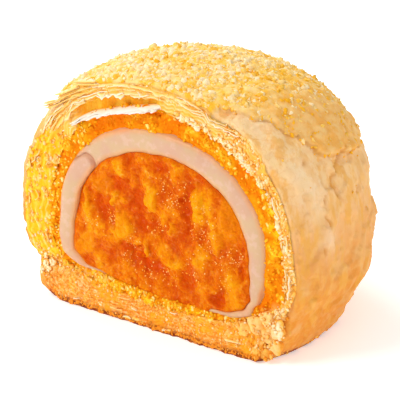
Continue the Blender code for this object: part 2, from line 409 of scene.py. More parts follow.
def crustSkin(turn, back):
    point = onSkin("crust", turn, back)
    if back == 0 and point.z < crust["faceFloor"]:
        share = (faceMiddle.z - crust["faceFloor"]) / (faceMiddle.z - point.z)
        point = faceMiddle.lerp(point, share)
    out = (point - middle).normalized()
    topping = toppingAt(point)
    crack = crackAt(point)
    upright = Vector((point.x, point.y, point.z * 0.3))
    bare = 1 - topping
    level, edge = plates(point)
    lift = 0.5 * wobble(point, 11.0) - crust["crownDrop"] * smooth(36, 43, point.z)
    lift += topping * smooth(8, 20, point.x) * (0.4 + 0.4 * lump(point + Vector((3, 1, 2)), 1.7))
    lift += topping * (crust["toppingRaise"] + 0.35 * lump(point, 1.5) + 0.15 * lump(point, 0.8))
    lift += bare * (crust["plateStep"] * level + 0.25 * wobble(upright, 2.4, 4.0))
    grooves = 1 - abs(wobble(upright, 1.9, 6.0)) * 3
    lift -= bare * 0.08 * grooves * smooth(0.0, 0.3, wobble(point, 7.0, 8.0))
    lift += 0.12 * wobble(point, 1.0, 3.0) + 0.06 * wobble(point, 0.5, 1.0)
    lift -= crust["crackDepth"] * crack
    where, size, height = crust["bulge"]
    lift += height * bell((point - Vector(where)).length, size)
    toRight = smooth(10, 26, 0.81 * point.x + 0.58 * point.y)
    lift -= crust["tuck"] * toRight * smooth(0.5, 4, point.z) * (1 - smooth(7, 12, point.z))
    toLeft = smooth(-14, -22, point.x) * (1 - smooth(cutY + 6, cutY + 14, point.y))
    waist = crust["waist"]
    lift -= waist["depth"] * toLeft * bell(point.z - waist["level"], waist["reach"])
    behind = point.y - cutY
    soft, sharp, lowRight = crust["rimRound"]
    rounding = soft + (sharp - soft) * smooth(5, 20, point.x) + 0.3 * wobble(point, 1.5, 8.0)
    rounding += (lowRight - sharp) * smooth(16, 24, point.x) * (1 - smooth(7, 15, point.z))
    rounding = max(rounding, 0.1)
    if behind < rounding:
        lift -= rounding - math.sqrt(max(rounding**2 - (rounding - behind) ** 2, 0.0))
    point += out * lift * smooth(-0.2, 2.5, point.z)
    raised = cornerLift(point)
    below = (crust["faceFloor"] - domes["crust"]["floor"]) * (1 - smooth(0.0, 0.4, raised))
    point.z = max(point.z, crust["faceFloor"] - below) + raised
    baked = 1 - smooth(0.2, 2.4, point.z + 0.9 * wobble(point, 2.0, 7.0))
    # pale patches painted on the bare skin as highlights
    spot = point + Vector((1, 1, 1)) * wobble(point, 1.8, 5.0)
    pale = max(bell((spot - Vector(where)).length, size) for where, size in crust["pale"])
    peeled = 0.35 * edge * bare * smooth(-0.2, 0.4, wobble(point, 5.0, 2.0))
    return point, (topping, pale, 0.0), (0.0, baked, max(crack, peeled))


rimPoints = {}


def crustRim(turn):
    key = round(turn, 4)
    if key not in rimPoints:
        rimPoints[key] = crustSkin(turn, 0.0)[0]
        rimPoints[key].y = cutY
    return rimPoints[key].copy()


def crustFace(turn, across):
    degrees = math.degrees(turn) % 360
    outside = crustRim(turn)
    inside = onCut("filling", turn)
    arc = onCut("crust", turn)
    top = window(degrees, 40, 152, 14)
    left = window(degrees, 140, 222, 14)
    base = window(degrees, 205, 335, 12)
    right = window(degrees, 318, 58, 14)
    ragged = 0.9 * wobble(arc, 1.8, 3.0) + 0.6 * wobble(arc, 0.6, 4.0) + 0.4
    fray = 0.45 * top + 0.3 * right + 0.2 * left + 0.3 * base
    inside += (faceMiddle - inside).normalized() * ragged * fray
    thickness = (outside - inside).length
    point = outside.lerp(inside, across)
    depth = across * thickness
    along = Vector((arc.x, 0.0, arc.z))
    wander = 0.9 * wobble(along + Vector((0, depth * 0.5, 0)), 5.0, 1.0)
    wander += 0.35 * wobble(along + Vector((0, depth, 0)), 1.6, 2.0)
    spacing = 0.7 * top + 1.1 * left + 0.7 * base + 0.8 * right
    phase = depth / max(spacing / max(top + left + base + right, 0.01), 0.3) + wander
    ridge = 1 - abs(2 * (phase % 1.0) - 1)
    layer = math.floor(phase)
    strength = 0.6 + 0.8 * wobble(along + Vector((0, layer * 3.1, 0)), 2.4, 5.0)
    crumb = lump(point, 1.3)
    speck = lump(point, 0.6)
    lift = (0.3 * top + 0.45 * left + 0.2 * base + 0.08 * right) * (ridge - 0.4) * strength
    lift += (0.1 * top + 0.35 * left + 0.4 * base + 0.3 * right) * (crumb - 0.3)
    lift += (0.08 * top + 0.2 * left + 0.25 * base + 0.15 * right) * (speck - 0.3)
    lift += 0.4 * wobble(point, 2.6, 6.0) + 0.1 * wobble(point, 0.45, 7.0)
    lift += crust["baseBulge"] * base * (1 - smooth(0.5, 8.0, point.z))
    low, high = crust["gapAcross"]
    low += 0.14 * wobble(along, 2.2, 8.0) + 0.06 * wobble(along, 0.7, 9.0)
    gap = window(degrees, *crust["gapTurns"], 8) * smooth(low, low + 0.05, across)
    gap *= 1 - smooth(high, high + 0.06, across)
    lift = lift * (1 - gap) - (crust["gapDepth"] + 0.3 * wobble(point, 2.0, 2.0)) * gap
    lift *= smooth(0.0, 0.07, across)
    point.y -= lift
    point.z = max(point.z, crust["faceFloor"]) + cornerLift(point) * smooth(0.0, 0.05, across)
    stand = point.z - cornerLift(point)
    baked = base * (1 - smooth(0.2, 2.0, stand + 0.9 * wobble(point, 1.2, 7.0)))
    # crest: ridges of layers and crumb tops, painted pale; the valleys between them are painted golden,
    # partly the dough's own colour and partly painted shade
    crest = ridge * (0.7 + 0.5 * strength) * (top + 0.6 * left + 0.7 * base + 0.15 * right)
    crest = smooth(0.3, 1.0, crest + crumb * (0.4 * base + 0.5 * left + 0.9 * right))
    return point, (base, crest, 1.0), (gap, baked, left)


def makeCrust(material):
    hollow = layerSkin("filling", hollowGap, (0.0, 0.0, 1.0), (1.0, 0.0, 0.0))
    rows = rings(crustSkin, crust["skinRows"], 1.0, 0.0)
    rows = [(find, share ** crust["skinEasing"]) for find, share in rows]
    rows += rings(crustFace, crust["faceRows"], 0.0, 1.0)[1:]
    rows += rings(hollow, crust["hollowRows"], 0.03, 1.0)
    bm = ringBody(rows, crust["segments"])
    cut = bmesh.ops.bisect_plane(
        bm,
        geom=bm.verts[:] + bm.edges[:] + bm.faces[:],
        dist=1e-7,
        plane_co=(0, 0, 0.00002),
        plane_no=(0, 0, -1),
        clear_outer=True,
    )
    rim = [part for part in cut["geom_cut"] if isinstance(part, bmesh.types.BMEdge)]
    rim = [edge for edge in rim if edge.is_boundary]
    bmesh.ops.edgeloop_fill(bm, edges=rim)
    closeNormals(bm)
    place("crustShell", bm, "crust", material)


def crustFinish():
    softness = (0.2, 0.0007, (1.0, 0.65, 0.3))
    finish = Finish("bakedCrust", roughness=0.6, specular=0.15, softness=softness)
    # ground is the topping on the skin and the base on the cut, crest is pale skin, painted as
    # highlights, and the ridges of layers, and line is a crack on the skin and the left side on the cut
    ground, crest, face = finish.masks("tone")
    film, baked, line = finish.masks("mark")
    broad = finish.grain(7.0, 3.0, 0.6)
    mottle = finish.grain(2.4, 4.0, 0.65, seed=0.3)
    fine = finish.grain(0.5, 3.0, 0.6)
    streak = finish.grain(2.2, 4.0, 0.65, (1.0, 1.0, 0.35), 0.7)
    low = 1 - finish.height("Z").clipped(0.008, 0.038)
    rightSide = finish.height("X").clipped(0.011, 0.021)
    peel = 7.0 * finish.grain(6.0, 4.0, 0.6, (1.0, 1.0, 0.6), 0.9)  # levels of thin peeling layers
    part = peel.maths("FRACT", peel, 0.0)
    bare = (1 - ground) * (1 - face)
    skin = finish.over(
        finish.blend(low, (0.97, 0.82, 0.60), (0.905, 0.575, 0.19)),
        (streak.clipped(0.46, 0.6) * 0.7, (0.93, 0.67, 0.27)),
        (broad.clipped(0.52, 0.66) * 0.5, (0.92, 0.73, 0.48)),
        (mottle.clipped(0.55, 0.7) * 0.4, (0.92, 0.68, 0.40)),
        (mottle.clipped(0.5, 0.36) * 0.3, (0.96, 0.76, 0.46)),
        (part.clipped(0.12, 0.0) * part.clipped(0.0, 0.02) * 0.3, (0.90, 0.60, 0.26)),
        # painted highlights: the pale patches of the bare skin
        (crest * 0.5, (0.98, 0.88, 0.74)),
    )
    bedGold = finish.blend(rightSide, (0.98, 0.74, 0.20), (0.95, 0.69, 0.33))
    bedPale = finish.blend(rightSide, (1.0, 0.85, 0.54), (0.96, 0.77, 0.48))
    bed = finish.blend(mottle.clipped(0.38, 0.62), bedGold, bedPale)
    ledge = ground.clipped(0.0, 0.3) * ground.clipped(0.9, 0.5) * rightSide
    outside = finish.over(
        finish.blend(ground, skin, bed),
        (ledge * 0.6, (0.86, 0.58, 0.24)),
        (line * 0.75, (0.84, 0.54, 0.18)),
    )
    # valleys between the layers: golden, partly the dough's own colour and partly painted shade
    valley = finish.blend(line, (0.98, 0.73, 0.31), (1.0, 0.75, 0.05))
    valley = finish.blend(ground, valley, (0.96, 0.60, 0.15))
    ridge = finish.blend(line, (1.0, 0.82, 0.52), (1.0, 0.84, 0.30))
    ridge = finish.blend(ground, ridge, (0.98, 0.71, 0.30))
    layers = finish.over(
        finish.blend(crest, valley, ridge),
        (crest * mottle.clipped(0.5, 0.6) * 0.6, (1.0, 0.89, 0.70)),
        (streak.clipped(0.5, 0.62) * 0.35, (1.0, 0.78, 0.22)),
        (ground * fine.clipped(0.53, 0.6) * 0.5, (1.0, 0.82, 0.55)),
        (ground * fine.clipped(0.47, 0.38) * 0.75, (0.90, 0.48, 0.13)),
        (ground * broad.clipped(0.5, 0.58) * 0.75, (1.0, 0.68, 0.06)),
    )
    inGap = finish.blend(streak.clipped(0.4, 0.6), (0.99, 0.64, 0.04), (1.0, 0.77, 0.22))
    colour = finish.blend(face, outside, finish.blend(film, layers, inGap))
    toast = finish.blend(fine.clipped(0.5, 0.58), (0.92, 0.50, 0.13), (0.60, 0.22, 0.05))
    colour = finish.blend(baked * (0.35 + 0.65 * mottle.clipped(0.42, 0.58)), colour, toast)
    foot = finish.height("Z").clipped(0.0014, 0.0004) * mottle.clipped(0.36, 0.5)
    colour = finish.blend(foot * 0.9, colour, (0.52, 0.19, 0.05))
    bump = mottle * 0.4 + fine * 0.4 + bare * (peel - part) * 0.35
    return finish.feed(colour, 0.5 + 0.25 * fine, bump, 0.3, 0.8)


print("crust")
makeCrust(crustFinish())


# Crumbs are built in batches, because adding to one big mesh is slow
batchSize = 150


def scatter(name, seats, node, material, subdivisions, jitter, seed):
    draw = random.Random(seed)
    whole = bmesh.new()
    for first in range(0, len(seats), batchSize):
        bm = bmesh.new()
        tone = bm.verts.layers.float_vector.new("tone")
        for point, radius, pale, out in seats[first : first + batchSize]:
            made = bmesh.ops.create_icosphere(bm, subdivisions=subdivisions, radius=1.0)["verts"]
            turn = Euler([draw.uniform(0, math.tau) for axis in range(3)]).to_matrix()
            size = Vector((draw.uniform(1.0, 1.5), draw.uniform(0.8, 1.1), draw.uniform(0.6, 0.9)))
            shift = Vector([draw.uniform(0, 50) for axis in range(3)])
            for vert in made:
                rough = 1 + 2 * jitter * noise.noise(vert.co * 1.6 + shift)
                offset = turn @ (vert.co * size) * rough
                vert.co = (flared(point) + offset * radius) * mm
                vert.co.z = max(vert.co.z, 0.0)
                # the second tone is the crumb's height, which the finish turns into painted shade:
                # golden where sunk, pale at the crest
                vert[tone] = (pale, 0.5 + 0.5 * offset.dot(out), 0.0)
        mesh = bpy.data.meshes.new("batch")
        bm.to_mesh(mesh)
        bm.free()
        whole.from_mesh(mesh)
        bpy.data.meshes.remove(mesh)
    return place(name, whole, node, material)


# Topping: crumbs baked onto the top, coarse ones among fine ones, strewn thinly past its edge
topping = {
    "coarse": {"count": 2300, "size": (0.38, 0.8), "sink": 0.95, "strewn": 0.01, "seed": 5},
    "fine": {"count": 5200, "size": (0.16, 0.34), "sink": 0.6, "strewn": 0.06, "seed": 8},
    "rimMargin": 0.3,
    "fade": 3.5,
    "stops": (
        (0.0, 0.98, 0.71, 0.15), (0.3, 0.99, 0.80, 0.37),
        (0.6, 1.0, 0.86, 0.57), (1.0, 1.0, 0.91, 0.73),
    ),
}


def toppingSeats(settings):
    draw = random.Random(settings["seed"])
    seats = []
    while len(seats) < settings["count"]:
        z = draw.uniform(0.15, 1.0)
        around = draw.uniform(0, math.tau)
        level = math.sqrt(1 - z * z)
        way = Vector((level * math.cos(around), level * math.sin(around), z))
        point = middle + way * reach(domes["crust"], middle, way)
        if point.y < cutY + topping["rimMargin"]:
            continue
        covered = toppingAt(point)
        below = max(toppingEdge(point) - point.z, 0.0)
        strewn = settings["strewn"] * math.exp(-below / topping["fade"])
        if draw.random() > max(covered, strewn):
            continue
        bare = smooth(10, 24, point.x) * smooth(40, 31, point.z)
        if draw.random() < 0.35 * bare:
            continue
        patchy = wobble(point, 4.0, 12.0) + 0.5 * wobble(point, 1.8, 14.0)
        if patchy < -0.25 and draw.random() < 0.6:
            continue
        radius = draw.uniform(*settings["size"]) * (1 - 0.4 * bare)
        lift = crust["toppingRaise"] * covered + 0.5 * wobble(point, 11.0) + 0.1
        lift += 0.4 * covered * smooth(8, 20, point.x) - crust["crownDrop"] * smooth(36, 43, point.z)
        lift += (0.35 - settings["sink"]) * radius
        golden = 0.38 * smooth(5, 25, point.x) + 0.25 * bare
        pale = unit(draw.gauss(0.6, 0.26) - golden + 0.4 * patchy)
        seats.append((point + way * lift, radius, pale, way))
    return seats


def crumbFinish(name, stops):
    finish = Finish(name, roughness=0.55, specular=0.07)
    pale, high = finish.masks("tone")[:2]  # high is 0 where a crumb is sunk and 1 at its crest
    fine = finish.grain(0.35, 3.0, 0.6)
    # painted shade: the crumbs are painted golden where sunk and pale at their crests
    shade = (pale * (0.3 + 0.7 * high.clipped(0.45, 0.85)) + 0.35 * (fine - 0.5)).clipped(0.0, 0.95)
    return finish.feed(finish.ramp(shade, stops), 0.45 + 0.3 * fine, fine, 0.15, 0.7)


print("topping")
crumbMaterial = crumbFinish("toppingCrumb", topping["stops"])
scatter("toppingCrumbs", toppingSeats(topping["coarse"]), "crust", crumbMaterial, 2, 0.35, 21)
scatter("toppingFines", toppingSeats(topping["fine"]), "crust", crumbMaterial, 1, 0.3, 22)


# Crumbs of dough on the cut
crumbs = {
    # turns in degrees, place across the crust, how many, how big and how pale
    "sides": (
        ((205, 332), (0.0, 1.0), 600, (0.1, 0.26), 0.4),  # base
        ((215, 325), (0.0, 0.25), 400, (0.12, 0.3), 0.3),  # foot
        ((146, 212), (0.0, 1.0), 260, (0.15, 0.42), 0.45),  # left
        ((-20, 60), (0.04, 1.12), 680, (0.14, 0.36), 0.5),  # right
        ((60, 146), (0.0, 0.4), 200, (0.08, 0.2), 0.65),  # top
        ((8, 84), (0.78, 1.06), 150, (0.26, 0.5), 0.75),  # along the filling
    ),
    # crumbs on the corner's lumps: how many for each millimetre of a lump's radius, and their size
    "rubble": {"count": 12, "size": (0.16, 0.38)},
    "rim": {
        "turns": (-26, 45), "levels": (0.1, 1.2), "inset": 0.2, "count": 130, "size": (0.12, 0.36),
        "pale": (0.05, 0.5),
    },
    # the crumbled corner at the lower right: middle x and z, radius, how far it stands out, how pale
    "corner": (
        (20.2, 6.0, 1.7, -0.6, 0.5), (22.4, 8.0, 1.6, -0.8, 0.5), (24.0, 6.2, 1.5, -0.8, 0.6),
        (18.0, 5.2, 1.5, -0.3, 0.4), (22.3, 4.6, 1.6, -0.5, 0.5), (20.0, 2.6, 1.4, -0.3, 0.35),
        (24.8, 9.2, 1.3, -1.0, 0.6), (24.0, 3.4, 1.2, -0.4, 0.5), (17.2, 2.2, 1.2, -0.3, 0.35),
        (22.2, 1.8, 1.1, -0.2, 0.35), (15.2, 3.2, 1.1, -0.3, 0.4),
        # pale flecks at the lower left and right
        (-21.3, 5.9, 0.6, 0.2, 0.9), (-20.2, 6.6, 0.5, 0.3, 0.85), (-21.5, 4.8, 0.55, 0.4, 0.95),
        (-20.4, 5.3, 0.4, 0.6, 0.95), (-21.9, 7.4, 0.4, 0.1, 0.9), (24.9, 7.5, 0.9, 0.5, 0.85),
        (25.3, 6.2, 0.7, 0.5, 0.8),
    ),
    "stops": (
        (0.0, 0.96, 0.60, 0.16), (0.3, 0.99, 0.76, 0.34),
        (0.6, 1.0, 0.84, 0.54), (1.0, 1.0, 0.93, 0.76),
    ),
}


def faceSeats(turns, places, count, sizes, paleness, seed):
    draw = random.Random(seed)
    seats = []
    while len(seats) < count:
        turn = math.radians(draw.uniform(*turns))
        point, tone, mark = crustFace(turn, draw.uniform(*places))
        if point.z < 0.3 or draw.random() > 0.35 + 0.9 * tone[1]:
            continue
        radius = draw.uniform(*sizes)
        point.y += 0.2 * radius
        pale = draw.gauss(paleness, 0.2) - 0.5 * mark[1]
        seats.append((point, radius, unit(pale), forward))
    return seats


print("dough crumbs")
doughMaterial = crumbFinish("doughCrumb", crumbs["stops"])
seats = []
for number, side in enumerate(crumbs["sides"]):
    seats += faceSeats(*side, 60 + number)
draw = random.Random(63)
for x, z, radius, out, pale in crumbs["corner"]:
    for number in range(round(crumbs["rubble"]["count"] * radius)):
        way = Vector([draw.gauss(0, 1) for axis in range(3)]).normalized()
        way.y = -abs(way.y)
        point = Vector((x, cutY - out, z)) + way * radius * draw.uniform(0.95, 1.15)
        shade = unit(draw.gauss(pale, 0.2))
        if point.z > 0.4:
            seats.append((point, draw.uniform(*crumbs["rubble"]["size"]), shade, forward))
rim = crumbs["rim"]
for number in range(rim["count"]):
    around = math.radians(draw.uniform(*rim["turns"]))
    way = Vector((math.cos(around), math.sin(around), 0.0))
    z = draw.uniform(*rim["levels"])
    point = way * (planRadius(domes["crust"], z) - rim["inset"]) + Vector((0, 0, z))
    seats.append((point, draw.uniform(*rim["size"]), draw.uniform(*rim["pale"]), way))
scatter("doughCrumbs", seats, "crust", doughMaterial, 1, 0.45, 61)
seats = []
for x, z, radius, out, pale in crumbs["corner"]:
    seats.append((Vector((x, cutY - out, z)), radius, pale, forward))
scatter("cornerCrumbs", seats, "crust", doughMaterial, 4, 0.2, 62)


# Flakes: thin leaves of dough that stand out of the cut
def alongPath(path, share):
    spot = share * (len(path) - 1)
    step = min(int(spot), len(path) - 2)
    t = spot - step
    a = path[max(step - 1, 0)]
    b, c = path[step], path[step + 1]
    d = path[min(step + 2, len(path) - 1)]
    return 0.5 * (
        2 * b + (c - a) * t + (2 * a - 5 * b + 4 * c - d) * t * t + (3 * b - a - 3 * c + d) * t**3
    )


def addFlake(bm, path, side, width, pale, curl, ragged, taper, steps, seed):
    tone = bm.verts.layers.float_vector["tone"]
    made = bmesh.ops.create_grid(bm, x_segments=steps, y_segments=4, size=1.0)["verts"]
    length = sum((b - a).length for a, b in zip(path, path[1:]))
    for vert in made:
        along, out = vert.co.x * 0.5 + 0.5, vert.co.y * 0.5 + 0.5
        spot = alongPath(path, along)
        ahead = alongPath(path, min(along + 0.03, 1.0)) - alongPath(path, max(along - 0.03, 0.0))
        normal = ahead.normalized().cross(side).normalized()
        ends = smooth(0.0, taper, along) * smooth(0.0, taper, 1 - along)
        edge = 1 + ragged * wobble(Vector((along * length, seed, 0)), 1.1) * 2
        edge += ragged * wobble(Vector((along * length, seed, 5)), 0.4)
        reachOut = out * width * (0.25 + 0.75 * ends) * edge
        ripple = 0.25 * wobble(Vector((along * length, out * width, seed)), 1.5)
        spot = spot + side * reachOut + normal * (curl * out * out + ripple * out)
        vert.co = flared(spot) * mm
        # out runs from a leaf's root to its edge; with it the finish paints the root darker and more
        # golden, as painted shade
        vert[tone] = (pale + 0.25 * (out - 0.5), out, 0.0)


def facePoint(x, z, y=0.0):
    return Vector((x, cutY - y, z))


def bandPoint(turn, across, lift):
    point = crustRim(turn).lerp(onCut("filling", turn), across)
    point.y = cutY - lift
    point.z = max(point.z, 0.2) + cornerLift(point)
    return point


flakes = {
    "thickness": 0.1,
    "bend": 25.0,  # the radius round which leaves follow the cut
    "baseTurns": (225, 320),  # leaves of the base stand further out
    "baseStand": 0.8,
    # leaves that follow the cut: how many, turns in degrees, place across the crust, length, width,
    # how pale, and how far they lean in towards the filling
    "bands": (
        (16, (58, 146), (0.0, 0.4), (4, 12), (0.3, 0.6), (0.45, 0.75), (-0.3, 0.6)),
        (18, (20, 90), (0.8, 1.05), (0.8, 2.0), (0.3, 0.7), (0.5, 0.8), (0.8, 1.6)),
        (16, (90, 136), (0.3, 0.42), (1.2, 3), (0.3, 0.7), (0.6, 0.9), (0.3, 1.0)),
        (9, (142, 205), (0.05, 0.9), (1.2, 3.4), (0.5, 0.9), (0.2, 0.6), (0.8, 1.6)),
        (10, (212, 322), (0.2, 0.95), (0.7, 3.0), (0.3, 0.5), (0.4, 0.7), (-0.8, 0.8)),
        (8, (-20, 30), (0.3, 1.0), (1.0, 4), (0.2, 0.4), (0.5, 0.8), (0.4, 1.2)),
    ),
    # the white leaf under the gap, from left to right
    "whiteLeaf": (
        (-20.1, 31.3), (-16.4, 33.7), (-13.2, 35.6), (-10.1, 36.7), (-7.0, 37.8), (-2.9, 38.9),
        (-0.6, 39.5), (0.9, 39.6),
    ),
    # leaf ends that stick out at the upper left
    "tips": (
        ((-13.0, 40.2), (-17.0, 38.2), (-20.2, 36.2), (-22.6, 35.3)),
        ((-15.0, 38.6), (-18.4, 36.8), (-21.0, 35.2), (-22.8, 34.6)),
        ((-15.6, 39.6), (-18.6, 37.9), (-20.4, 37.3)),
        ((-17.0, 36.6), (-19.6, 34.4), (-21.8, 33.4)),
        ((-11.6, 41.2), (-14.2, 40.6), (-16.6, 40.2)),
    ),
    "stops": (
        (0.0, 0.98, 0.72, 0.22), (0.35, 1.0, 0.82, 0.44),
        (0.65, 1.0, 0.88, 0.62), (1.0, 1.0, 0.97, 0.92),
    ),
}


def makeFlakes(material):
    draw = random.Random(31)
    bm = bmesh.new()
    bm.verts.layers.float_vector.new("tone")
    for count, turns, places, lengths, widths, pales, leans in flakes["bands"]:
        for number in range(count):
            start = math.radians(draw.uniform(*turns))
            length = draw.uniform(*lengths)
            across = draw.uniform(*places)
            slant = draw.uniform(-0.06, 0.06)
            lift = draw.uniform(-0.15, 0.3)
            low, high = flakes["baseTurns"]
            lift += flakes["baseStand"] if low < math.degrees(start) < high else 0.0
            sweep = length / flakes["bend"]
            path = []
            for share in shares(5, 0, 1):
                path.append(bandPoint(start + sweep * (share - 0.5), across + slant * share, lift))
            inwards = (faceMiddle - path[2]).normalized()
            side = inwards * draw.uniform(*leans) + forward * draw.uniform(0.4, 0.8)
            addFlake(
                bm, path, side.normalized(), draw.uniform(*widths), draw.uniform(*pales),
                draw.uniform(-0.4, 0.4), 0.45, 0.35, max(8, int(length * 3)), draw.uniform(0, 90),
            )
    for layer in range(3):
        leaf = [facePoint(x, z - layer * 0.25, -1.2 + 0.2 * layer) for x, z in flakes["whiteLeaf"]]
        side = Vector((0, -0.98, -0.1)).normalized()
        width, pale = 2.2 - 0.3 * layer, 1.2 - 0.12 * layer
        addFlake(bm, leaf, side, width, pale, 0.3, 0.2, 0.2, 60, 3.0 + layer)
    for number, tip in enumerate(flakes["tips"]):
        for copy in range(2):
            shift = draw.uniform(-0.3, 0.3)
            path = [facePoint(x + shift, z - 0.15 * copy, 0.2 + 0.3 * copy) for x, z in tip]
            side = Vector((-0.1, 0.95, 0.25)).normalized()
            width, pale = draw.uniform(1.0, 2.0), draw.uniform(0.7, 0.95)
            addFlake(bm, path, side, width, pale, 0.2, 0.4, 0.5, 30, 40.0 + number)
    bmesh.ops.solidify(bm, geom=bm.faces[:], thickness=flakes["thickness"] * mm)
    place("pastryFlakes", bm, "crust", material)


def flakeFinish():
    finish = Finish("flake", roughness=0.5, specular=0.12)
    pale, out = finish.masks("tone")[:2]
    fine = finish.grain(0.5, 3.0, 0.6)
    # painted shade: each leaf is darker and more golden at its root and paler at its edge
    shade = (pale * (0.6 + 0.4 * out) + 0.5 * (fine - 0.5)).clipped(0.0, 1.1)
    return finish.feed(finish.ramp(shade, flakes["stops"]), 0.4 + 0.3 * fine, fine, 0.15, 0.5)


print("flakes")
makeFlakes(flakeFinish())


# Mochi by turn in degrees. It thins to two lips, and the custard fills the rest
mochiBand = (
    (-60, 0.0), (-51, 0.0), (-45, 0.28), (-37, 0.3), (-29, 0.37), (-23, 0.36), (-14, 0.8), (-4, 1.0),
    (150, 1.0), (172, 0.92), (190, 0.74), (203, 0.5), (214, 0.27), (224, 0.1), (232, 0.0), (300, 0.0),
)
# How far its outline stands off a plain dome's
mochiShape = (
    (-60, 0.3), (-45, 1.2), (-37, 2.0), (-29, 2.0), (-22, 0.1), (-14, -1.0), (-6, -0.7), (15, 0.0),
    (180, 0.0), (195, 0.8), (202, 1.6), (209, 1.4), (219, 0.0), (240, 0.0), (300, 0.3),
)


def byTurn(table, turn):  # both tables start at -60 degrees
    return fromTable(table, (math.degrees(turn) + 60) % 360 - 60)


def bandShare(turn):
    return byTurn(mochiBand, turn)


def mochiOutside(turn):
    outline = onCut("mochi", turn)
    shift = byTurn(mochiShape, turn)
    return outline + (outline - faceMiddle).normalized() * (shift - 0.25 * wobble(outline, 7.0, 2.0))


def custardOutside(turn):
    outline = onCut("custard", turn)
    edge = 0.3 * wobble(outline, 5.0, 3.0) + 0.12 * wobble(outline, 1.6, 4.0)
    outline += (faceMiddle - outline).normalized() * edge
    return mochiOutside(turn).lerp(outline, bandShare(turn))


# Filling: crumbly yellow floss, a little behind the crust's cut
filling = {
    "segments": 900,
    "skinRows": 5,
    "faceRows": 30,
    "hollowRows": 6,
    # middles, x and z, of brighter, darker and filmed patches on the cut
    "bright": (
        (21.6, 30.3), (23.0, 27.2), (23.6, 23.5), (21.0, 33.5), (23.9, 20.5), (-10.0, 5.2), (-7.5, 4.9),
        (-3.9, 4.8), (-1.2, 4.4), (3.0, 4.9), (8.0, 5.6),
    ),
    "dark": ((-11.2, 33.9), (-8.0, 35.1), (3.6, 36.6), (18.0, 33.5), (21.3, 11.0)),
    "film": ((-13.4, 6.6), (-11.6, 6.6), (-10.0, 6.6), (23.8, 9.0)),
    "stops": (
        (0.0, 0.93, 0.51, 0.0), (0.4, 0.96, 0.62, 0.02),
        (0.75, 0.98, 0.73, 0.12), (1.0, 1.0, 0.84, 0.36),
    ),
    "crumbs": {"count": 1500, "across": (-0.05, 0.98), "size": (0.14, 0.4)},
    "crumbStops": (
        (0.0, 0.97, 0.58, 0.02), (0.4, 0.99, 0.72, 0.10),
        (0.75, 1.0, 0.82, 0.25), (1.0, 1.0, 0.90, 0.55),
    ),
}


def nearAny(point, places, size):
    nearest = min(math.hypot(point.x - x, point.z - z) for x, z in places)
    return 1 - smooth(size * 0.3, size, nearest)


def fillingFace(turn, across):
    degrees = math.degrees(turn) % 360
    outside, inside = onCut("filling", turn), mochiOutside(turn)
    inside += (faceMiddle - inside).normalized() * hollowGap
    outside += (outside - faceMiddle).normalized() * hollowGap
    point = outside.lerp(inside, across)
    top = window(degrees, 40, 145, 20)
    recess = 0.5 * top + 0.2 * window(degrees, 325, 50, 20)
    recess *= 1 - 0.8 * smooth(0.6, 1.0, across)
    coarse, fine = lump(point, 2.2), lump(point + Vector((3, 0, 5)), 0.9)
    lift = 0.8 * (coarse - 0.35) + 0.35 * (fine - 0.3) + 0.6 * wobble(point, 3.2, 3.0)
    bright = nearAny(point, filling["bright"], 2.2)
    dark = nearAny(point, filling["dark"], 3.0)
    film = nearAny(point, filling["film"], 2.2)
    lift *= 1 - 0.85 * smooth(0.6, 1.0, across)
    lift = lift * (1 - 0.7 * film) + 0.4 * bright - 0.5 * dark - recess
    lift -= smooth(0.7, 1.0, across) * (0.15 + 0.5 * (1 - smooth(0.0, 0.3, bandShare(turn))))
    point.y -= lift * smooth(-0.15, 0.1, across)
    crest = smooth(-0.5, 0.8, lift + recess)
    return point, (crest, bright, dark), (film, 0.0, 0.0)


def fillingFinish():
    finish = Finish("floss", roughness=0.5, specular=0.06, softness=(0.2, 0.0006, (1.0, 0.6, 0.2)))
    crest, bright, dark = finish.masks("tone")
    film = finish.masks("mark")[0]
    fine = finish.grain(0.5, 3.0, 0.6)
    broad = finish.grain(3.5, 2.0, 0.5)
    shade = (crest * 0.7 + 0.5 * (fine - 0.4) + 0.5 * (broad - 0.5)).clipped(0.0, 1.0)
    colour = finish.over(
        finish.ramp(shade, filling["stops"]),
        (bright * 0.7, (1.0, 0.80, 0.06)),
        (dark * 0.7, (0.97, 0.52, 0.0)),
        (film * 0.6, (0.93, 0.73, 0.40)),
    )
    return finish.feed(colour, 0.4 + 0.3 * fine, fine, 0.2, 0.8)


print("filling")
rows = rings(layerSkin("filling"), filling["skinRows"], 1.0, 0.0)
rows += rings(fillingFace, filling["faceRows"], 0.0, 1.0)[1:]
rows += rings(layerSkin("mochi", hollowGap), filling["hollowRows"], 0.05, 1.0)
makeLayer("flossFilling", "floss_filling", rows, filling, fillingFinish())


# Loose crumbs of floss on the cut
def flossSeats(settings):
    draw = random.Random(44)
    seats = []
    while len(seats) < settings["count"]:
        turn = draw.uniform(0, math.tau)
        point, tone, mark = fillingFace(turn, draw.uniform(*settings["across"]))
        if draw.random() > 0.3 + tone[0]:
            continue
        radius = draw.uniform(*settings["size"])
        point.y += 0.2 * radius
        pale = draw.gauss(0.5, 0.28) - 0.4 * tone[2] - 0.3 * window(math.degrees(turn), 45, 140, 15)
        pale -= 0.2 * window(math.degrees(turn), -30, 45, 15)
        seats.append((point, radius, unit(pale), forward))
    return seats


flossCrumb = crumbFinish("flossCrumb", filling["crumbStops"])
scatter("flossCrumbs", flossSeats(filling["crumbs"]), "floss_filling", flossCrumb, 1, 0.5, 23)


# Mochi: a smooth pale skin with a fold at the upper left
mochi = {
    "segments": 520,
    "skinRows": 6,
    "faceRows": 22,
    "hollowRows": 6,
    "fold": 143.0,
    "crown": 0.5,
    "weld": 0.000003,  # metres; the face has no width where the mochi is open
}


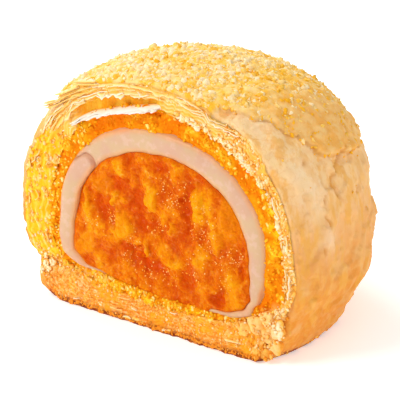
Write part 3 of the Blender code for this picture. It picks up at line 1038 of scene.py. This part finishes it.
def mochiFace(turn, across):
    degrees = math.degrees(turn) % 360
    outside, inside = mochiOutside(turn), custardOutside(turn)
    share = bandShare(turn)
    point = outside.lerp(inside, across)
    crown = max(1 - (2 * across - 1) ** 2, 0.0) ** 0.65
    start = mochi["fold"] + 9 * (2 * across - 1.1) ** 2 + 2 * wobble(point, 1.5, 9.0)
    fold = smooth(start - 1.2, start + 1.8, degrees) * (1 - smooth(175, 205, degrees))
    # the crease at the fold's end: sunk, and painted darker in the finish as painted shade
    shadedCrease = bell(degrees - start + 0.8, 1.3)
    lift = mochi["crown"] * crown * smooth(0.0, 0.5, share) - 0.05
    lift += 0.2 * wobble(point, 6.0, 5.0) + 0.06 * wobble(point, 1.5, 6.0)
    lift += (0.5 * fold - 0.5 * shadedCrease) * smooth(0.0, 0.5, crown)
    lift -= 3.0 * (1 - smooth(0.0, 0.05, share))
    point.y -= lift
    return point, (across, shadedCrease, share), (0.0, 0.0, 0.0)


def mochiFinish():
    finish = Finish("mochi", roughness=0.35, specular=0.3, softness=(0.5, 0.0016, (1.0, 0.75, 0.6)))
    across, shadedCrease, share = finish.masks("tone")
    broad = finish.grain(5.0, 3.0, 0.55)
    middleGrain = finish.grain(1.6, 3.0, 0.6, seed=0.2)
    fine = finish.grain(0.6, 3.0, 0.55)
    colour = finish.over(
        finish.blend(broad.clipped(0.4, 0.6), (0.82, 0.685, 0.53), (0.82, 0.65, 0.54)),
        (middleGrain.clipped(0.5, 0.66) * 0.5, (0.87, 0.73, 0.65)),
        (across.clipped(0.7, 1.0) * 0.5, (0.94, 0.64, 0.28)),
        (across.clipped(0.25, 0.0) * 0.5, (0.92, 0.62, 0.34)),
        # painted shade along the fold's crease
        (shadedCrease * 0.5, (0.86, 0.55, 0.38)),
        (share.clipped(0.7, 0.2) * 0.3, (0.92, 0.63, 0.40)),
    )
    return finish.feed(colour, 0.25 + 0.25 * fine, broad * 0.6 + middleGrain * 0.4, 0.25, 0.5)


print("mochi")
rows = rings(layerSkin("mochi"), mochi["skinRows"], 1.0, 0.08)
rows += rings(mochiFace, mochi["faceRows"], 0.0, 1.0)
rows += rings(layerSkin("custard", hollowGap), mochi["hollowRows"], 0.08, 1.0)
makeLayer("mochiSkin", "mochi_skin", rows, mochi, mochiFinish())


# Custard: soft lumps, paler curds, redder hollows, and pale specks painted as glints on the wet surface
custard = {
    "segments": 480,
    "skinRows": 5,
    "faceRows": 120,
    # pale curds: middle x and z, half width, half height, lean in degrees, how pale, how far out
    "curds": (
        (-0.5, 23.3, 1.5, 2.8, -20, 0.9, 0.6), (8.8, 24.4, 1.3, 3.8, 6, 1.0, 0.7),
        (-6.8, 17.2, 2.3, 2.8, 10, 0.8, 0.7), (-8.5, 21.2, 0.5, 1.8, -28, 0.9, 0.5),
        (-1.6, 14.1, 0.6, 1.4, 0, 0.9, 0.6), (3.9, 19.0, 0.8, 1.5, 15, 0.5, 0.3),
        (9.5, 15.4, 1.4, 2.6, -10, 0.6, 0.3), (-10.6, 23.5, 2.0, 2.4, 0, 0.5, 0.1),
        (-13.6, 12.6, 1.6, 2.6, 0, 0.7, 0.3), (14.8, 23.0, 2.4, 5.4, 0, 0.5, 0.1),
        (15.6, 10.6, 1.8, 3.2, 5, 0.8, 0.3), (-13.8, 19.8, 1.0, 2.4, 10, 0.5, 0.4),
        (4.5, 13.0, 1.6, 1.3, 30, 0.5, 0.3), (12.4, 18.8, 1.3, 2.2, 0, 0.5, 0.3),
    ),
    # redder hollows: middle x and z, half width, half height
    "hollows": (
        (0.6, 29.3, 1.8, 1.0), (-10.2, 19.7, 1.6, 2.6), (6.6, 23.0, 0.9, 4.4),
        (-2.6, 18.5, 1.8, 1.4), (-0.3, 11.4, 3.4, 1.5), (13.0, 9.0, 1.6, 1.0),
        (-8.0, 24.6, 2.4, 1.8), (6.8, 11.2, 1.6, 2.4), (17.2, 14.9, 0.6, 1.0),
        (-3.4, 22.0, 1.2, 2.6), (-5.0, 13.4, 2.8, 0.7),
    ),
    "stops": (
        (0.0, 0.81, 0.29, 0.0), (0.4, 0.88, 0.43, 0.0),
        (0.75, 0.92, 0.54, 0.01), (1.0, 0.96, 0.66, 0.03),
    ),
    # clusters of pale specks, painted highlights for glints on the wet custard: how many in each, how
    # far they spread in x and z, size and middles
    "glintSpeckCount": 30,
    "glintSpeckSpread": (1.0, 1.1),
    "glintSpeckSize": (0.05, 0.15),
    "glintSpeckStops": ((0.0, 1.0, 0.62, 0.10), (0.5, 1.0, 0.74, 0.30), (1.0, 1.0, 0.88, 0.60)),
    "glintSpecks": (
        (1.7, 26.7), (11.1, 17.3), (16.1, 16.8), (0.5, 18.7), (8.2, 19.5), (10.8, 20.5),
        (-9.3, 17.8), (-12.7, 16.2), (13.6, 15.3), (4.2, 23.5), (9.8, 24.6), (-4.0, 15.0),
        (-5.0, 12.0), (3.0, 10.5), (14.5, 12.5), (7.8, 13.0), (5.2, 26.0), (-1.5, 10.0),
    ),
}


def inPatch(point, x, z, halfWidth, halfHeight, lean=0.0):
    c, s = math.cos(math.radians(lean)), math.sin(math.radians(lean))
    dx, dz = point.x - x, point.z - z
    dx, dz = dx * c + dz * s, dz * c - dx * s
    return math.hypot(dx / halfWidth, dz / halfHeight)


def custardFace(turn, across):
    point = custardOutside(turn)
    under = 0.1 + 0.25 * (1 - smooth(0.0, 0.3, bandShare(turn)))
    point += (point - faceMiddle).normalized() * under
    point = point.lerp(faceMiddle, across)
    wander = Vector((wobble(point, 1.6, 1.0), 0.0, wobble(point, 1.6, 2.0))) * 0.9
    wander += Vector((wobble(point, 0.7, 3.0), 0.0, wobble(point, 0.7, 4.0))) * 0.35
    spot = point + wander
    pale, lift = 0.0, 0.0
    for x, z, halfWidth, halfHeight, lean, paleness, stand in custard["curds"]:
        away = inPatch(spot, x, z, halfWidth, halfHeight, lean)
        pale = max(pale, paleness * (1 - smooth(0.5, 1.25, away)))
        lift += stand * (1 - smooth(0.45, 1.15, away))
    red = 0.0
    for x, z, halfWidth, halfHeight in custard["hollows"]:
        red = max(red, 1 - smooth(0.3, 1.6, inPatch(spot, x, z, halfWidth, halfHeight)))
    upright = Vector((point.x, point.y, point.z * 0.55))
    lift += 0.7 * wobble(point, 4.5, 3.0) + 0.45 * wobble(upright, 1.7, 4.0) + 0.35 * lump(point, 1.9)
    lift += 0.18 * lump(point, 0.8) + 0.1 * wobble(point, 0.45, 6.0) - 0.6 * red * (1 - pale)
    lift *= smooth(0.0, 0.05, across)
    point.y -= lift + 0.1
    return point, (pale, red, smooth(-0.5, 1.1, lift)), (0.0, 0.0, 0.0)


def custardFinish():
    finish = Finish(
        "custard",
        roughness=0.35,
        specular=0.04,
        softness=(0.3, 0.0009, (1.0, 0.5, 0.1)),
        others={"Coat Roughness": 0.15},
    )
    pale, red, crest = finish.masks("tone")
    broad = finish.grain(5.0, 2.0, 0.5)
    streak = finish.grain(1.8, 4.0, 0.65, (1.0, 1.0, 0.5), 0.2)
    middleGrain = finish.grain(0.9, 3.0, 0.6, seed=0.4)
    fine = finish.grain(0.35, 3.0, 0.65)
    shade = 0.5 * crest + 0.7 * (broad - 0.5) + 0.9 * (streak - 0.5)
    shade = shade + 0.7 * (middleGrain - 0.5) + 0.7 * (fine - 0.5) + 0.2
    colour = finish.over(
        finish.ramp(shade.clipped(0.0, 0.95), custard["stops"]),
        (red * 0.55, (0.83, 0.27, 0.0)),
        (pale * (0.45 + 0.5 * fine), (0.96, 0.63, 0.02)),
    )
    coat = (fine + middleGrain - 1.0).clipped(0.1, 0.22) * 0.6
    bump = middleGrain * 0.5 + fine * 0.5
    return finish.feed(colour, 0.15 + 0.35 * middleGrain, bump, 0.42, 1.0, coat)


print("custard")
rows = rings(layerSkin("custard"), custard["skinRows"], 1.0, 0.12)
rows += rings(custardFace, custard["faceRows"], 0.0, 1.0)[1:]
makeLayer("custardCore", "custard_core", rows, custard, custardFinish())


def glintSpeckSeats():
    draw = random.Random(52)
    seats = []
    spreadX, spreadZ = custard["glintSpeckSpread"]
    for x, z in custard["glintSpecks"]:
        for number in range(custard["glintSpeckCount"]):
            right = draw.gauss(x, spreadX) - faceMiddle.x
            up = draw.gauss(z, spreadZ) - faceMiddle.z
            turn = math.atan2(up, right)
            far = (custardOutside(turn) - faceMiddle).length
            across = 1 - math.hypot(right, up) / far
            if across < 0.06:
                continue
            point = custardFace(turn, across)[0]
            radius = draw.uniform(*custard["glintSpeckSize"])
            seats.append((point, radius, draw.uniform(0.2, 1.0), forward))
    return seats


# painted highlights: pale specks that stand for glints on the wet custard
glintSpeckMaterial = crumbFinish("paintedGlintSpeck", custard["glintSpeckStops"])
scatter("custardGlintSpecks", glintSpeckSeats(), "custard_core", glintSpeckMaterial, 1, 0.4, 24)


# Floor, light and camera
studio = {
    "floorColour": (0.98, 0.98, 0.98),
    "floorGlow": 0.32,
    "worldStrength": 0.62,
    "azimuth": 35.52,
    "elevation": 22.98,
    "distance": 406.0,
    "aimRight": 0.96,
    "aimUp": 17.89,
    "lens": 213.8,
    "floorHalf": 3.0,  # metres
    # azimuth and elevation in degrees, distance and size in metres, watts and colour
    "lights": {
        "key": (-30, 42, 0.6, 0.25, 1.5, (1.0, 0.98, 0.95)),
        "fill": (95, 35, 0.7, 0.5, 0.75, (1.0, 0.97, 0.93)),
        "rim": (-115, 35, 0.6, 0.3, 1.6, (1.0, 1.0, 1.0)),
    },
    "lightAim": Vector((0, 0, 0.02)),
}


def awayTo(azimuth, elevation):  # from the pastry towards a light or the camera
    a, e = math.radians(azimuth), math.radians(elevation)
    return Vector((math.sin(a) * math.cos(e), -math.cos(a) * math.cos(e), math.sin(e)))


def makeFloor():
    bm = bmesh.new()
    bmesh.ops.create_grid(bm, x_segments=2, y_segments=2, size=studio["floorHalf"])
    mesh = bpy.data.meshes.new("floor")
    bm.to_mesh(mesh)
    bm.free()
    glow = {
        "Base Color": (*studio["floorColour"], 1.0),
        "Emission Color": (1.0, 1.0, 1.0, 1.0),
        "Emission Strength": studio["floorGlow"],
    }
    finish = Finish("floor", roughness=0.9, specular=0.0, others=glow)
    mesh.materials.append(finish.material)
    floor = link("floor", mesh)


def makeLight(name, azimuth, elevation, distance, size, power, colour):
    way = awayTo(azimuth, elevation)
    lamp = bpy.data.lights.new(name, "AREA")
    lamp.shape = "DISK"
    lamp.size = size
    lamp.energy = power
    lamp.color = colour
    light = link(name, lamp)
    light.location = way * distance + studio["lightAim"]
    light.rotation_euler = way.to_track_quat("Z", "Y").to_euler()


def makeCamera():
    a, e = math.radians(studio["azimuth"]), math.radians(studio["elevation"])
    back = awayTo(studio["azimuth"], studio["elevation"])
    right = Vector((math.cos(a), math.sin(a), 0.0))
    up = back.cross(right)
    lens = bpy.data.cameras.new("camera")
    lens.lens = studio["lens"]
    lens.sensor_width = 36.0
    camera = link("camera", lens)
    spot = right * studio["aimRight"] + up * studio["aimUp"] + back * studio["distance"]
    camera.location = spot * mm
    camera.rotation_euler = Euler((math.pi / 2 - e, 0.0, a))
    bpy.context.scene.camera = camera


print("studio")
makeFloor()
for name, values in studio["lights"].items():
    makeLight(name, *values)
makeCamera()
world = bpy.data.worlds.new("world")
world.use_nodes = True
world.node_tree.nodes["Background"].inputs["Color"].default_value = (1.0, 1.0, 1.0, 1.0)
world.node_tree.nodes["Background"].inputs["Strength"].default_value = studio["worldStrength"]
bpy.context.scene.world = world
bpy.context.scene.view_settings.view_transform = "Standard"
